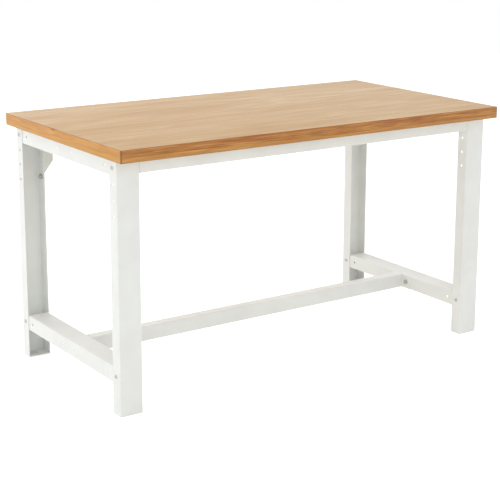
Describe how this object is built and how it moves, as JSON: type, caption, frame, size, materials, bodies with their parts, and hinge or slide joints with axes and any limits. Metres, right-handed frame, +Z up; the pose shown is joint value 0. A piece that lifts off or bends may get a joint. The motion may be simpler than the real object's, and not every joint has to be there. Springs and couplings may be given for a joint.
{
  "type": "workbench",
  "caption": "Rectangular workbench: thick multiplex worktop on a bolted frame of folded sheet-steel channels, with perforated legs, end rails and a central foot stretcher.",
  "frame": {"origin": "on the floor, midway along the bench and midway from front to back", "axes": "+X along the worktop to the right end as seen from the front, +Y from the front to the back, +Z up. The front is the side of the top rail that has folded tabs at its ends."},
  "size_m": [1.5, 0.8, 0.84],
  "materials": {
    "multiplex_board": "oiled, satin",
    "powder_coated_steel": "light grey powder coat, satin",
    "zinc_plated_steel": "bright zinc plating"
  },
  "bodies": {
    "root": {"worktop": "multiplex_board", "front_left_leg": "powder_coated_steel", "front_right_leg": "powder_coated_steel", "rear_left_leg": "powder_coated_steel", "rear_right_leg": "powder_coated_steel", "front_left_foot_plate": "powder_coated_steel", "front_right_foot_plate": "powder_coated_steel", "rear_left_foot_plate": "powder_coated_steel", "rear_right_foot_plate": "powder_coated_steel", "left_upper_end_rail": "powder_coated_steel", "right_upper_end_rail": "powder_coated_steel", "left_lower_end_rail": "powder_coated_steel", "right_lower_end_rail": "powder_coated_steel", "front_top_rail": "powder_coated_steel", "rear_top_rail": "powder_coated_steel", "rear_left_bracket": "powder_coated_steel", "rear_right_bracket": "powder_coated_steel", "foot_stretcher": "powder_coated_steel", "end_rail_bolts": "zinc_plated_steel", "end_rail_nuts": "zinc_plated_steel", "top_rail_bolts": "zinc_plated_steel", "top_rail_nuts": "zinc_plated_steel", "bracket_bolts": "zinc_plated_steel", "bracket_nuts": "zinc_plated_steel", "stretcher_bolts": "zinc_plated_steel", "stretcher_washers": "zinc_plated_steel", "stretcher_nuts": "zinc_plated_steel", "worktop_screws": "zinc_plated_steel", "worktop_washers": "zinc_plated_steel"}
  },
  "joints": []
}
